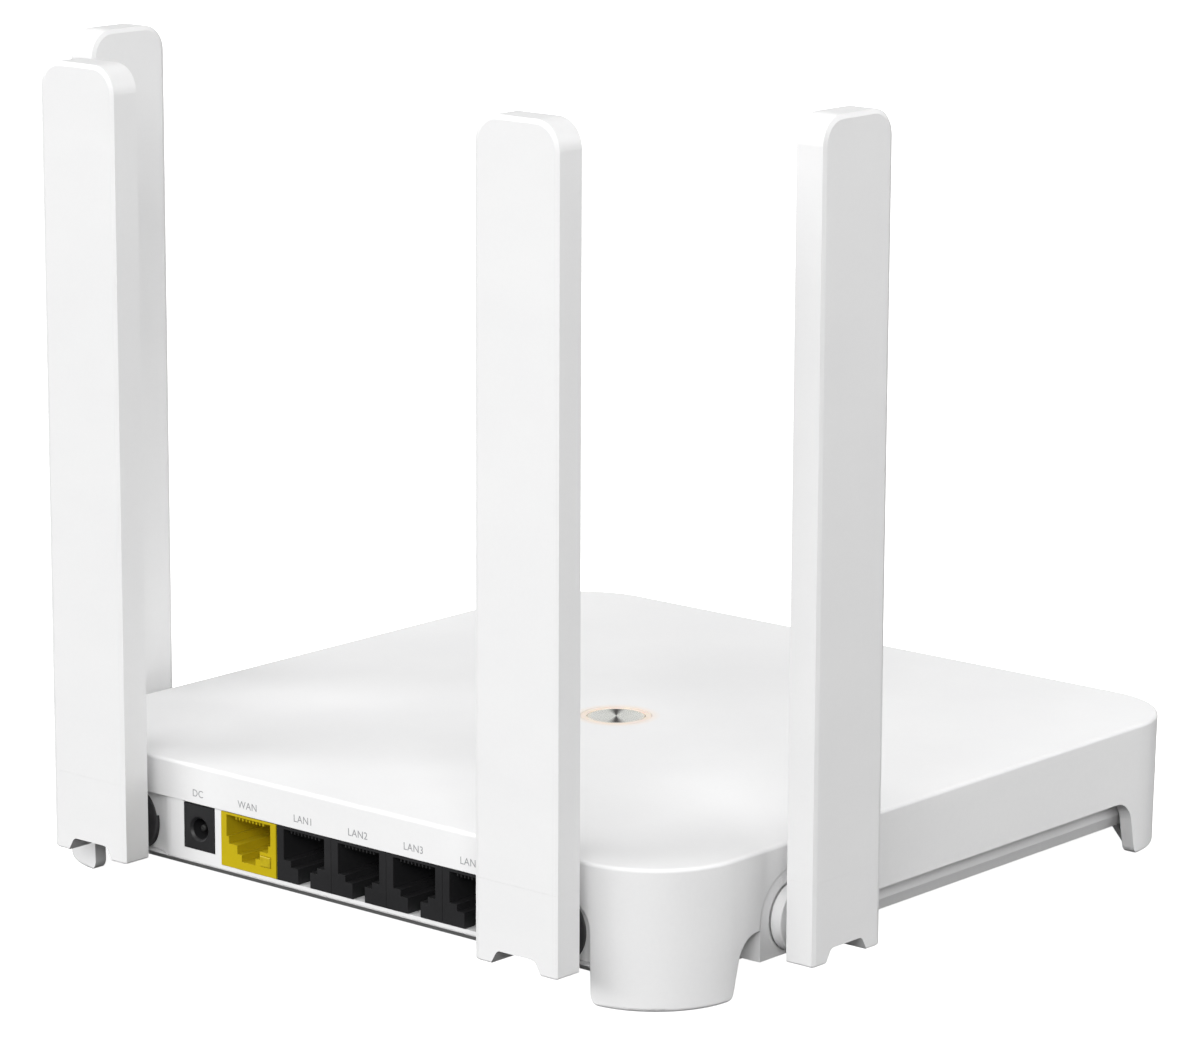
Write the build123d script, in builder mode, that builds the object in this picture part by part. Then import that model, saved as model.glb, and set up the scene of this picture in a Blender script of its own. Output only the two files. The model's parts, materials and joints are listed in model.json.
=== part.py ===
from build123d import *
from math import radians, sqrt, tan
import os

# Four-antenna desktop wifi router, in millimetres.
# Origin: centre of the square body, on the surface that the router stands on.
# +Z is up, the socket wall faces +Y and the front faces -Y.

# --- Housing -------------------------------------------------------------------------
body_half = 93.2  # half the side of the square body, at its top edge
body_top = 30.6
corner_radius = 21.0
draft = 1.0  # degrees that every outer wall leans in, going down
wall = 3.2
roof = 2.4
top_round = 0.8
leg_base = 0.3  # underside of the legs; the rubber pads reach down to z = 0
leg_round = 0.9
arch_top = 13.45  # lower edge of the skirt on the sides and the front
arch_half_low = 71.6
arch_half_high = 68.7
arch_corner = 6.0
rear_edge = 21.95  # lower edge of the skirt above the sockets
rear_half = 72.6
rear_corner = 6.0
leg_corner = 2.3

foot_line = 81.5  # x and y at the middle of a leg plate's inner edge
foot_plate = 2.0
pad_place = 83.6
pad_length = 13.0
pad_width = 4.0
pad_height = 1.1

tray_half = 88.1
tray_corner = 16.0
tray_bottom = 6.0
tray_floor = 7.5
tray_wall = 2.0
tray_rim = 17.0
tray_chamfer_up = 2.8
tray_chamfer_in = 1.2
sill_top = 8.2
sill_front = 88.8
sill_back = 92.6
sill_lip = 8.5
sill_slope = 2.4

cover_screw_x = 77.0
cover_screw_y = 70.0
board_screw_x = 58.0
board_screw_y = (-6.0, 66.0)
cover_screw_radius = 1.25
cover_screw_length = 10.0
cover_head_radius = 2.8
cover_head_depth = 1.7
cross_slot = (3.0, 0.6, 1.0)  # length, width and depth of the cross in each head
board_screw_radius = 1.0
board_head_radius = 2.2
board_head_height = 1.4
board_screw_bite = 1.4
board_post_radius = 3.0
pillar_radius = 3.4
pillar_low = 9.2
post_radius = 4.4

vent_rows = (52.0, -64.0)
vent_count = 19
vent_pitch = 5.0
vent_width = 2.0
vent_length = 18.0
label_width = 60.0
label_length = 38.0
label_y = -14.0
label_corner = 1.5
label_thick = 0.2

# --- Socket wall ---------------------------------------------------------------------
panel_face = 92.7
panel_recess_face = 90.7
panel_back = 88.9
panel_bottom = 8.6
panel_top = 21.85
recess_start = 48.5
recess_end = 54.5
panel_half = 72.3
jack_face = 92.9
jack_bottom = 9.6  # also the top of the circuit board
jack_top = 21.7
jack_depth = 21.0
cavity_depth = 13.5
jack_pitch = 16.0
lan_x = [8.0 - jack_pitch * i for i in range(4)]
wan_x = 24.6
wan_width = 16.5
lan_width = 15.9
dc_x = 39.7
dc_z = 16.2
dc_width = 9.2
dc_bore = 2.3
dc_pin = 0.8
# Each socket mouth is a stack of (width, lowest z) steps under one ceiling.
mouth_ceiling = 21.2
wan_steps = [(13.2, 16.4), (11.8, 14.8), (6.8, 12.9), (4.1, 11.4)]
lan_steps = [(12.0, 14.4), (7.8, 13.0), (3.6, 11.2)]
latch_slot = 3.6
latch_height = 3.0
latch_depth = 7.0
lens_x = -5.2  # light window, from the WAN socket's centre
lens_z = 12.8
lens_width = 3.0
lens_height = 2.4
lens_depth = 0.5
dc_length = 13.0
dc_bore_depth = 9.5
dc_window_low = 11.4
contact_count = 8
contact_pitch = 1.02
contact_width = 0.4
contact_thick = 0.35
contact_drop = 1.6
contact_inset = 3.5  # from a socket's face to the front of its wires

# --- Circuit board -------------------------------------------------------------------
board_top = jack_bottom
board_thick = 1.2
board_half = 66.0
board_front = -14.0
board_step = 78.0
board_rear = 88.0
board_rear_half = 52.5
chip_place = (-6.0, 36.0)
chip_side = 16.0
chip_height = 1.4
sink_side = 30.0
sink_base = 2.2
fin_count = 9
fin_pitch = 3.5
fin_thick = 1.2
fin_height = 8.0
shield_place = (32.0, 26.0)
shield_width = 38.0
shield_length = 26.0
shield_height = 3.4
shield_sheet = 0.3
radio_chips = [(23.0, 26.0), (41.0, 26.0)]
radio_chip_side = 9.0
radio_chip_height = 0.9
transformers = [(-40.0, 64.0), (-14.0, 64.0), (12.0, 64.0)]
transformer_size = (13.0, 9.0, 6.0)
capacitors = [(40.0, 71.0), (40.0, 62.0)]
capacitor_radius = 3.2
capacitor_height = 9.0
coax_radius = 1.5
coax_height = 1.3
coax_x = 56.0
coax_rear_y = 50.0
coax_side_y = 40.0
coax_places = [(s * coax_x, y) for s in (1, -1) for y in (coax_rear_y, coax_side_y)]
lead_radius = 0.6

# --- Top button ----------------------------------------------------------------------
button_radius = 6.6
ring_inner = 6.7
ring_outer = 8.0
ring_top = body_top - 0.05
ring_low = board_top + 1.4
ring_collar = 1.6  # how far the ring's collar under the roof stands out
collar_thick = 1.3
lamp_count = 4
lamp_size = (1.2, 2.0, 0.8)
button_top = 30.5
button_thick = 1.9
button_travel = 0.5
stem_radius = 2.4
switch_side = 6.0
switch_height = 3.4
plunger_radius = 1.7
switch_top = 14.0

# --- Antennas ------------------------------------------------------------------------
hub_z = 14.5
rear_x = 62.3
side_y = 52.5
rear_gap = 3.5  # from the body's wall to the antenna's inner face
side_gap = 6.6
hub_radius = 7.3
shaft_radius = 4.5
shaft_bore = 1.6
running = 0.05  # radial clearance of every shaft and pin
neck_width = 9.0
neck_height = 4.4
pin_radius = 1.0
pin_length = 17.0
blade_width = 22.2
blade_thick = 7.3
blade_low = 8.4 - hub_z  # heights on an antenna are counted from its hub axis
blade_high = 182.4 - hub_z
seam = 26.0 - hub_z
seam_gap = 0.02
blade_corner = 6.0
blade_bevel_face = 1.0  # long edges: a shallow bevel, mostly on the wide faces
blade_bevel_side = 0.35
blade_wall = 1.3
foot_edge = 0.5
pin_inset = 3.5  # from the inner face to the hinge pin
notch_half_low = 6.7
notch_half_high = 5.0
notch_height = 3.0
notch_corner = 1.4
slot_clear = 0.2
spigot_top = seam + 9.0
spigot_fit = 0.05
lead_slot = (3.0, 2.0)  # passage for the lead, up through the foot
lock_width = 1.7  # of the ring that holds a hub's shaft behind its boss
lock_thick = 1.0
shaft_beyond = 2.6  # length of shaft behind the boss
stop_radius = 8.2
stop_root = hub_radius - 0.5
stop_depth = 1.1
stop_half_angle = 11.0
stop_play = 1.0
swing_out = 90.0
swing_in = 15.0
boss_radius = 10.4  # arch-topped block in each side wall
boss_face = 92.7
boss_low = 6.6
boss_inner = 84.0
rear_boss_radius = 8.5
rear_boss_face = 89.8
rear_boss_inner = 84.5
side_hub_front = 2.3  # how far the side hubs stand out from the skirt
side_hub_lift = 0.35  # shadow gap between a side hub and its boss
side_groove_radius = hub_radius + 0.2  # groove in the boss behind the hub's rim
side_groove_inner = shaft_radius + 1.2
side_groove_depth = 1.0
boss_gap = 0.3  # between a boss and the skirt around it
element_low = 24.0
element_high = 150.0
element_width = 14.0
element_thick = 0.8
arm_places = (92.0, 58.0)
arm_size = (11.0, 28.0)
arm_thick = 0.1

os.makedirs("parts", exist_ok=True)


def save(name, piece):
    piece.label = name
    export_step(piece, f"parts/{name}.step")


def wall_plane(y):
    """Plane across the socket wall: its x and y are the router's X and Z, and it faces -Y."""
    return Plane.XZ.offset(-y)


def leg_opening(plane, half_low, half_high, top, corner):
    """Opening between two legs, with round inner corners and round feet beside it."""
    reach = 1.2 * body_half
    with BuildSketch(plane) as opening:
        with BuildLine():
            Polyline(
                (-reach, leg_base - 3),
                (-reach, leg_base),
                (-half_low, leg_base),
                (-half_high, top),
                (half_high, top),
                (half_low, leg_base),
                (reach, leg_base),
                (reach, leg_base - 3),
                close=True,
            )
        make_face()
        fillet(opening.vertices().group_by(Axis.Y)[-1], radius=corner)
        feet = opening.vertices().filter_by_position(Axis.X, -half_low - 0.1, half_low + 0.1)
        fillet(feet.group_by(Axis.Y)[0], radius=leg_corner)
    return opening.sketch


def boss_outline(plane, radius, low):
    """Arch around the hub axis of a side antenna, with straight sides and a flat foot at low."""
    with BuildSketch(plane) as outline:
        with Locations((side_y, hub_z)):
            Circle(radius)
        with Locations((side_y, (hub_z + low) / 2)):
            Rectangle(2 * radius, hub_z - low)
        with Locations((side_y, low - radius)):
            Rectangle(4 * radius, 2 * radius, mode=Mode.SUBTRACT)
    return outline.sketch


def pad_outline(play):
    """Four slots, each across the diagonal of a corner, larger all round by half the play."""
    with BuildSketch(Plane.XY) as outline:
        for x in (pad_place, -pad_place):
            for y in (pad_place, -pad_place):
                with Locations((x, y)):
                    SlotOverall(pad_length + play, pad_width + play, rotation=-45 if x == y else 45)
    return outline.sketch


def steps_outline(plane, centre, ceiling, steps):
    """A socket's mouth: ever narrower steps, each from the ceiling down to its own height."""
    with BuildSketch(plane) as outline:
        for width, low in steps:
            with Locations((centre, (ceiling + low) / 2)):
                Rectangle(width, ceiling - low)
    return outline.sketch


# === Housing ==========================================================================


def make_top_cover():
    """Roof, skirt and the four corner legs in one moulding."""
    inner = 2 * (body_half - wall)
    side_opening = leg_opening(Plane.YZ, arch_half_low, arch_half_high, arch_top, arch_corner)
    front_opening = leg_opening(
        wall_plane(0), arch_half_low, arch_half_high, arch_top, arch_corner
    )
    rear_opening = leg_opening(wall_plane(0), rear_half, rear_half, rear_edge, rear_corner)
    boss_cutout = boss_outline(Plane.YZ, boss_radius + boss_gap, panel_bottom)
    with BuildPart() as cover:
        with BuildSketch(Plane.XY.offset(body_top)):
            RectangleRounded(2 * body_half, 2 * body_half, corner_radius)
        extrude(amount=leg_base - body_top, taper=draft)
        fillet(cover.faces().sort_by(Axis.Z)[-1].edges(), radius=top_round)
        fillet(cover.faces().sort_by(Axis.Z)[0].edges(), radius=leg_round)
        with BuildSketch(Plane.XY.offset(body_top - roof)):
            RectangleRounded(inner, inner, corner_radius - wall)
        extrude(amount=-body_top, taper=draft, mode=Mode.SUBTRACT)

        # a plate closes the foot of each leg, with a recess for its rubber pad
        with BuildSketch(Plane.XY.offset(leg_base)):
            diamond = 2 * foot_line * sqrt(2)
            RectangleRounded(inner, inner, corner_radius - wall)
            Rectangle(diamond, diamond, rotation=45, mode=Mode.SUBTRACT)
        extrude(amount=foot_plate)
        extrude(pad_outline(0.2), amount=pad_height, mode=Mode.SUBTRACT)

        # openings between the legs, both sides at once, then the arches for the bosses
        extrude(side_opening, amount=2 * body_half, both=True, mode=Mode.SUBTRACT)
        extrude(front_opening, amount=2 * body_half, mode=Mode.SUBTRACT)
        extrude(rear_opening, amount=-2 * body_half, mode=Mode.SUBTRACT)
        extrude(boss_cutout, amount=2 * body_half, both=True, mode=Mode.SUBTRACT)

        # screw pillars under the roof
        with BuildSketch(Plane.XY.offset(body_top - roof)):
            with GridLocations(2 * cover_screw_x, 2 * cover_screw_y, 2, 2):
                Circle(pillar_radius)
        extrude(amount=pillar_low - (body_top - roof))
        with BuildSketch(Plane.XY.offset(pillar_low)):
            with GridLocations(2 * cover_screw_x, 2 * cover_screw_y, 2, 2):
                Circle(cover_screw_radius)
        extrude(amount=cover_screw_length, mode=Mode.SUBTRACT)

        # hole for the light ring and the button
        with BuildSketch(Plane.XY.offset(body_top)):
            Circle(ring_outer + 0.1)
        extrude(amount=-2 * roof, mode=Mode.SUBTRACT)
    save("top_cover", cover.part)


def make_bottom_cover():
    """Tray under the body: floor, low wall, sill under the sockets, bosses for the hubs."""
    boss = boss_outline(Plane.YZ, boss_radius, boss_low)
    with BuildPart() as tray:
        with BuildSketch(Plane.XY.offset(tray_bottom)):
            RectangleRounded(2 * tray_half, 2 * tray_half, tray_corner)
        extrude(amount=tray_rim - tray_bottom)
        base = tray.faces().sort_by(Axis.Z)[0]
        chamfer(base.edges(), tray_chamfer_in, tray_chamfer_up, reference=base)
        with BuildSketch(Plane.XY.offset(tray_floor)):
            side = 2 * (tray_half - tray_wall)
            RectangleRounded(side, side, tray_corner - tray_wall)
        extrude(amount=tray_rim, mode=Mode.SUBTRACT)
        with BuildSketch(Plane.XY.offset(tray_floor)):
            with Locations((0, body_half)):
                Rectangle(2 * panel_half - 1, 20)
        extrude(amount=tray_rim, mode=Mode.SUBTRACT)

        # sill under the socket wall, its underside sloping up and out to a thin lip
        with BuildSketch(Plane.YZ):
            with BuildLine():
                Polyline(
                    (tray_half - 4, tray_bottom),
                    (sill_front, tray_bottom),
                    (sill_back, tray_bottom + sill_slope),
                    (sill_back, sill_lip),
                    (sill_front, sill_lip),
                    (sill_front, sill_top),
                    (tray_half - 4, sill_top),
                    close=True,
                )
            make_face()
        extrude(amount=panel_half - 0.5, both=True)

        # arch-topped bosses that carry the side antennas
        extrude(boss, amount=boss_face, both=True)
        with BuildSketch(Plane.YZ):
            with Locations((side_y, hub_z)):
                Rectangle(4 * boss_radius, 4 * boss_radius)
        extrude(amount=boss_inner, both=True, mode=Mode.SUBTRACT)
        with BuildSketch(Plane.XY.offset(tray_bottom)):
            with Locations((0, side_y)):
                Rectangle(2 * boss_inner + 2, 4 * boss_radius + 1)
        extrude(amount=tray_floor - tray_bottom)
        with BuildSketch(Plane.YZ):
            with Locations((side_y, hub_z)):
                Circle(shaft_radius + running)
        extrude(amount=2 * body_half, both=True, mode=Mode.SUBTRACT)
        with BuildSketch(Plane.YZ.offset(boss_face), Plane.YZ.offset(side_groove_depth - boss_face)):
            with Locations((side_y, hub_z)):
                Circle(side_groove_radius)
                Circle(side_groove_inner, mode=Mode.SUBTRACT)
        extrude(amount=-side_groove_depth, mode=Mode.SUBTRACT)

        # room for the rear hub bosses in the sill
        with BuildSketch(wall_plane(body_half)):
            with Locations((rear_x, hub_z), (-rear_x, hub_z)):
                Circle(rear_boss_radius + 0.2)
        extrude(amount=body_half - rear_boss_inner + 0.2, mode=Mode.SUBTRACT)

        # screw posts with the heads' counterbores, and posts under the circuit board
        with BuildSketch(Plane.XY.offset(tray_bottom)):
            with GridLocations(2 * cover_screw_x, 2 * cover_screw_y, 2, 2):
                Circle(post_radius)
        extrude(amount=pillar_low - 0.1 - tray_bottom)
        with BuildSketch(Plane.XY.offset(tray_bottom)):
            with GridLocations(2 * cover_screw_x, 2 * cover_screw_y, 2, 2):
                Circle(cover_head_radius + 0.3)
        extrude(amount=cover_head_depth + 0.1, mode=Mode.SUBTRACT)
        with BuildSketch(Plane.XY.offset(tray_bottom)):
            with GridLocations(2 * cover_screw_x, 2 * cover_screw_y, 2, 2):
                Circle(cover_screw_radius + 0.35)
        extrude(amount=2 * tray_floor, mode=Mode.SUBTRACT)
        with BuildSketch(Plane.XY.offset(tray_floor)):
            for y in board_screw_y:
                with Locations((board_screw_x, y), (-board_screw_x, y)):
                    Circle(board_post_radius)
        extrude(amount=board_top - board_thick - tray_floor)
        with BuildSketch(Plane.XY.offset(board_top - board_thick)):
            for y in board_screw_y:
                with Locations((board_screw_x, y), (-board_screw_x, y)):
                    Circle(board_screw_radius)
        extrude(amount=-board_screw_bite - 0.2, mode=Mode.SUBTRACT)

        # cooling slots in the floor, a row each side of the rating label
        with BuildSketch(Plane.XY.offset(tray_bottom)):
            for y in vent_rows:
                with Locations((0, y)):
                    with GridLocations(vent_pitch, 0, vent_count, 1):
                        SlotOverall(vent_length, vent_width, rotation=90)
        extrude(amount=tray_floor, mode=Mode.SUBTRACT)

        # shallow recess for the rating label
        with BuildSketch(Plane.XY.offset(tray_bottom)):
            with Locations((0, label_y)):
                RectangleRounded(label_width + 0.4, label_length + 0.4, label_corner + 0.2)
        extrude(amount=label_thick + 0.1, mode=Mode.SUBTRACT)
    save("bottom_cover", tray.part)


def make_rear_panel():
    """Socket wall: flush in the middle, curving inwards on both sides to the antenna hubs."""
    with BuildPart() as panel:
        with BuildSketch(Plane.XY.offset(panel_bottom)):
            with BuildLine():
                Line((-recess_start, panel_face), (recess_start, panel_face))
                for side in (1, -1):
                    Spline(
                        (side * recess_start, panel_face),
                        (side * recess_end, panel_recess_face),
                        tangents=((side * 1.0, -0.1), (side * 1.0, -0.1)),
                    )
                    Line(
                        (side * recess_end, panel_recess_face),
                        (side * panel_half, panel_recess_face),
                    )
                    Line((side * panel_half, panel_recess_face), (side * panel_half, panel_back))
                Line((panel_half, panel_back), (-panel_half, panel_back))
            make_face()
        extrude(amount=panel_top - panel_bottom)
        with BuildSketch(wall_plane(body_half)) as outline:
            with Locations((0, (panel_top + panel_bottom) / 2)):
                Rectangle(2 * panel_half, panel_top - panel_bottom)
            fillet(outline.vertices().group_by(Axis.Y)[-1], radius=rear_corner)
        extrude(amount=body_half - panel_back, mode=Mode.INTERSECT)

        # windows for the sockets, open to the skirt above
        with BuildSketch(wall_plane(body_half)):
            socket_left = lan_x[-1] - lan_width / 2 - 0.15
            socket_right = wan_x + wan_width / 2 + 0.15
            with Locations(((socket_left + socket_right) / 2, panel_top)):
                Rectangle(socket_right - socket_left, 2 * (panel_top - jack_bottom + 0.1))
            with Locations((dc_x, panel_top)):
                Rectangle(dc_width + 0.3, 2 * (panel_top - dc_window_low))
        extrude(amount=10, mode=Mode.SUBTRACT)

        # bearing bosses for the rear hubs, with the seat for the hub's disc
        with BuildSketch(wall_plane(rear_boss_face)):
            with Locations((rear_x, hub_z), (-rear_x, hub_z)):
                Circle(rear_boss_radius)
        extrude(amount=rear_boss_face - rear_boss_inner)
        with BuildSketch(wall_plane(body_half)):
            with Locations((rear_x, hub_z), (-rear_x, hub_z)):
                Circle(hub_radius + 0.15)
        extrude(amount=body_half - panel_back + 0.1, mode=Mode.SUBTRACT)
        with BuildSketch(wall_plane(body_half)):
            with Locations((rear_x, hub_z), (-rear_x, hub_z)):
                Circle(shaft_radius + running)
        extrude(amount=20, mode=Mode.SUBTRACT)

        # arc-shaped windows in the seats' rims, where the hubs' stop lugs travel
        with BuildSketch(wall_plane(body_half)):
            for side in (1, -1):
                first = -90 - side * (swing_out + stop_half_angle + stop_play)
                sweep = side * (swing_out + swing_in + 2 * (stop_half_angle + stop_play))
                with BuildLine():
                    centre = (side * rear_x, hub_z)
                    outer = CenterArc(centre, stop_radius, first, sweep)
                    inner = CenterArc(centre, stop_root, first, sweep)
                    Line(outer @ 0, inner @ 0)
                    Line(outer @ 1, inner @ 1)
                make_face()
        extrude(amount=body_half - panel_recess_face + stop_depth + 0.1, mode=Mode.SUBTRACT)
    save("rear_panel", panel.part)


def make_foot_pads():
    """Narrow rubber pads under the four legs."""
    with BuildPart() as pads:
        extrude(pad_outline(0), amount=pad_height)
        chamfer(pads.edges().group_by(Axis.Z)[0], length=0.2)
    save("foot_pads", pads.part)


def make_rating_label():
    """Blank label in its recess under the tray."""
    with BuildPart() as label:
        with BuildSketch(Plane.XY.offset(tray_bottom + 0.1)):
            with Locations((0, label_y)):
                RectangleRounded(label_width, label_length, label_corner)
        extrude(amount=label_thick)
    save("rating_label", label.part)


def make_cover_screws():
    """Four screws that hold the tray to the pillars of the top cover."""
    with BuildPart() as screws:
        with BuildSketch(Plane.XY.offset(tray_bottom + 0.1)):
            with GridLocations(2 * cover_screw_x, 2 * cover_screw_y, 2, 2):
                Circle(cover_head_radius)
        extrude(amount=cover_head_depth)
        with BuildSketch(Plane.XY.offset(tray_bottom + 0.1 + cover_head_depth)):
            with GridLocations(2 * cover_screw_x, 2 * cover_screw_y, 2, 2):
                Circle(cover_screw_radius)
        extrude(amount=cover_screw_length - 2)
        cross_length, cross_width, cross_depth = cross_slot
        with BuildSketch(Plane.XY.offset(tray_bottom + 0.1)):
            with GridLocations(2 * cover_screw_x, 2 * cover_screw_y, 2, 2):
                Rectangle(cross_length, cross_width)
                Rectangle(cross_width, cross_length)
        extrude(amount=cross_depth, mode=Mode.SUBTRACT)
    save("cover_screws", screws.part)


# === Sockets ==========================================================================


def make_socket(name, centre, width, steps):
    """Network socket with its latch downwards and its mouth in the socket wall."""
    mouth = steps_outline(wall_plane(jack_face), centre, mouth_ceiling, steps)
    with BuildPart() as socket:
        with BuildSketch(wall_plane(jack_face)):
            with Locations((centre, (jack_bottom + jack_top) / 2)):
                Rectangle(width, jack_top - jack_bottom)
        extrude(amount=jack_depth)
        extrude(mouth, amount=cavity_depth, mode=Mode.SUBTRACT)
        if name == "wan_socket":
            with BuildSketch(wall_plane(jack_face)):
                with Locations((centre + lens_x, lens_z)):
                    Rectangle(lens_width + 0.1, lens_height + 0.1)
            extrude(amount=lens_depth, mode=Mode.SUBTRACT)
        else:
            with BuildSketch(wall_plane(jack_face)):
                with Locations((centre, jack_bottom)):
                    Rectangle(latch_slot, 2 * latch_height)
            extrude(amount=latch_depth, mode=Mode.SUBTRACT)
    save(name, socket.part)


def make_wan_lens():
    """Small square light window in the corner of the WAN socket's face."""
    with BuildPart() as lens:
        with BuildSketch(wall_plane(jack_face + 0.3)):
            with Locations((wan_x + lens_x, lens_z)):
                Rectangle(lens_width, lens_height)
        extrude(amount=lens_depth + 0.3)
        fillet(lens.faces().sort_by(Axis.Y)[-1].edges(), radius=0.25)
    save("wan_light_lens", lens.part)


def make_contacts():
    """Eight spring wires in each of the five sockets, sloping down from the ceiling."""
    front = jack_face - contact_inset
    back = jack_face - cavity_depth
    high = mouth_ceiling - 0.25
    low = high - contact_drop
    with BuildPart() as contacts:
        for centre in [wan_x] + lan_x:
            for i in range(contact_count):
                left = centre + contact_pitch * (i - (contact_count - 1) / 2) - contact_width / 2
                with BuildSketch(Plane.YZ.offset(left)):
                    with BuildLine():
                        Polyline(
                            (front, high),
                            (front, high - contact_thick),
                            (back, low - contact_thick),
                            (back, low),
                            close=True,
                        )
                    make_face()
                extrude(amount=contact_width)
    save("socket_contacts", contacts.part)


def make_dc_jack():
    """Power inlet for a 4.0 x 1.7 mm barrel plug, with its centre pin."""
    with BuildPart() as jack:
        with BuildSketch(wall_plane(jack_face - 0.1)):
            with Locations((dc_x, (jack_bottom + jack_top - 0.2) / 2)):
                Rectangle(dc_width, jack_top - 0.2 - jack_bottom)
        extrude(amount=dc_length)
        with BuildSketch(wall_plane(jack_face)):
            with Locations((dc_x, jack_bottom)):
                Rectangle(dc_width, 2 * (dc_window_low + 0.1 - jack_bottom))
        extrude(amount=jack_face - panel_back + 0.1, mode=Mode.SUBTRACT)
        with BuildSketch(wall_plane(jack_face - 0.1)):
            with Locations((dc_x, dc_z)):
                Circle(dc_bore)
        extrude(amount=dc_bore_depth, mode=Mode.SUBTRACT)
        mouth = jack.faces().sort_by(Axis.Y)[-1].edges().filter_by(GeomType.CIRCLE)
        chamfer(mouth, length=0.5)
    save("dc_jack", jack.part)
    with BuildPart() as pin:
        with BuildSketch(wall_plane(jack_face - 1.2)):
            with Locations((dc_x, dc_z)):
                Circle(dc_pin)
        extrude(amount=dc_bore_depth - 1.1)
        fillet(pin.faces().sort_by(Axis.Y)[-1].edges(), radius=0.4)
    save("dc_jack_pin", pin.part)


# === Circuit board ====================================================================


def make_board():
    """Main circuit board, narrower at the rear where it passes between the hubs."""
    with BuildPart() as board:
        with BuildSketch(Plane.XY.offset(board_top - board_thick)):
            with Locations((0, (board_front + board_step) / 2)):
                Rectangle(2 * board_half, board_step - board_front)
            with Locations((0, (board_front + board_rear) / 2)):
                Rectangle(2 * board_rear_half, board_rear - board_front)
            for y in board_screw_y:
                with Locations((board_screw_x, y), (-board_screw_x, y)):
                    Circle(board_screw_radius + 0.2, mode=Mode.SUBTRACT)
        extrude(amount=board_thick)
    save("main_board", board.part)
    with BuildPart() as screws:
        for y in board_screw_y:
            with BuildSketch(Plane.XY.offset(board_top)):
                with Locations((board_screw_x, y), (-board_screw_x, y)):
                    Circle(board_head_radius)
            extrude(amount=board_head_height)
            with BuildSketch(Plane.XY.offset(board_top)):
                with Locations((board_screw_x, y), (-board_screw_x, y)):
                    Circle(board_screw_radius)
            extrude(amount=-board_thick - board_screw_bite)
    save("board_screws", screws.part)


def make_blocks(name, centres, width, length, height):
    """Rectangular parts on the board, such as chips, one solid at each centre."""
    with BuildPart() as blocks:
        with BuildSketch(Plane.XY.offset(board_top)):
            with Locations(*centres):
                Rectangle(width, length)
        extrude(amount=height)
    save(name, blocks.part)


def make_round_parts(name, centres, radius, height):
    """Upright round parts on the board, one solid at each centre."""
    with BuildPart() as parts:
        with BuildSketch(Plane.XY.offset(board_top)):
            with Locations(*centres):
                Circle(radius)
        extrude(amount=height)
    save(name, parts.part)


def make_shield():
    """Pressed metal can over the radio chips, open underneath."""
    with BuildPart() as shield:
        with BuildSketch(Plane.XY.offset(board_top)):
            with Locations(shield_place):
                RectangleRounded(shield_width, shield_length, 1.0)
        extrude(amount=shield_height)
        with BuildSketch(Plane.XY.offset(board_top)):
            with Locations(shield_place):
                width = shield_width - 2 * shield_sheet
                RectangleRounded(width, shield_length - 2 * shield_sheet, 1.0 - shield_sheet)
        extrude(amount=shield_height - shield_sheet, mode=Mode.SUBTRACT)
    save("radio_shield", shield.part)


def make_heat_sink():
    """Finned aluminium block on the processor."""
    low = board_top + chip_height
    with BuildPart() as sink:
        with BuildSketch(Plane.XY.offset(low)):
            with Locations(chip_place):
                Rectangle(sink_side, sink_side)
        extrude(amount=sink_base)
        with BuildSketch(Plane.XY.offset(low + sink_base)):
            with Locations(chip_place):
                with GridLocations(fin_pitch, 0, fin_count, 1):
                    Rectangle(fin_thick, sink_side)
        extrude(amount=fin_height)
    save("heat_sink", sink.part)


# === Button and light ring ============================================================


def make_light_ring():
    """Clear tube that carries the board's light up to a thin ring around the button."""
    with BuildPart() as ring:
        with BuildSketch(Plane.XY.offset(ring_low)):
            Circle(ring_outer)
            Circle(ring_inner, mode=Mode.SUBTRACT)
        extrude(amount=ring_top - ring_low)
        with BuildSketch(Plane.XY.offset(body_top - roof - 0.1)):
            Circle(ring_outer + ring_collar)
            Circle(ring_inner, mode=Mode.SUBTRACT)
        extrude(amount=-collar_thick)
    save("light_ring", ring.part)
    with BuildPart() as lights:
        with BuildSketch(Plane.XY.offset(board_top)):
            with PolarLocations((ring_inner + ring_outer) / 2, lamp_count, start_angle=45):
                Rectangle(lamp_size[0], lamp_size[1])
        extrude(amount=lamp_size[2])
    save("ring_lights", lights.part)


def make_button():
    """Metal cap flush with the roof, on a stem that presses the switch."""
    with BuildPart() as cap:
        with BuildSketch(Plane.XY.offset(button_top)):
            Circle(button_radius)
        extrude(amount=-button_thick)
        fillet(cap.faces().sort_by(Axis.Z)[-1].edges(), radius=0.3)
        with BuildSketch(Plane.XY.offset(button_top - button_thick)):
            Circle(stem_radius)
        stem_low = switch_top + button_travel + 0.1
        extrude(amount=stem_low - button_top + button_thick)
    save("top_button", cap.part)
    with BuildPart() as switch:
        with BuildSketch(Plane.XY.offset(board_top)):
            Rectangle(switch_side, switch_side)
        extrude(amount=switch_height)
        with BuildSketch(Plane.XY.offset(board_top + switch_height)):
            Circle(plunger_radius)
        extrude(amount=switch_top - board_top - switch_height)
    save("button_switch", switch.part)


# === Antennas =========================================================================


def profile_plane(seat):
    """Plane through the hub axis: its x runs outwards and its y runs up."""
    return Plane(origin=seat.origin, x_dir=seat.z_dir, z_dir=-seat.x_dir)


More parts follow.
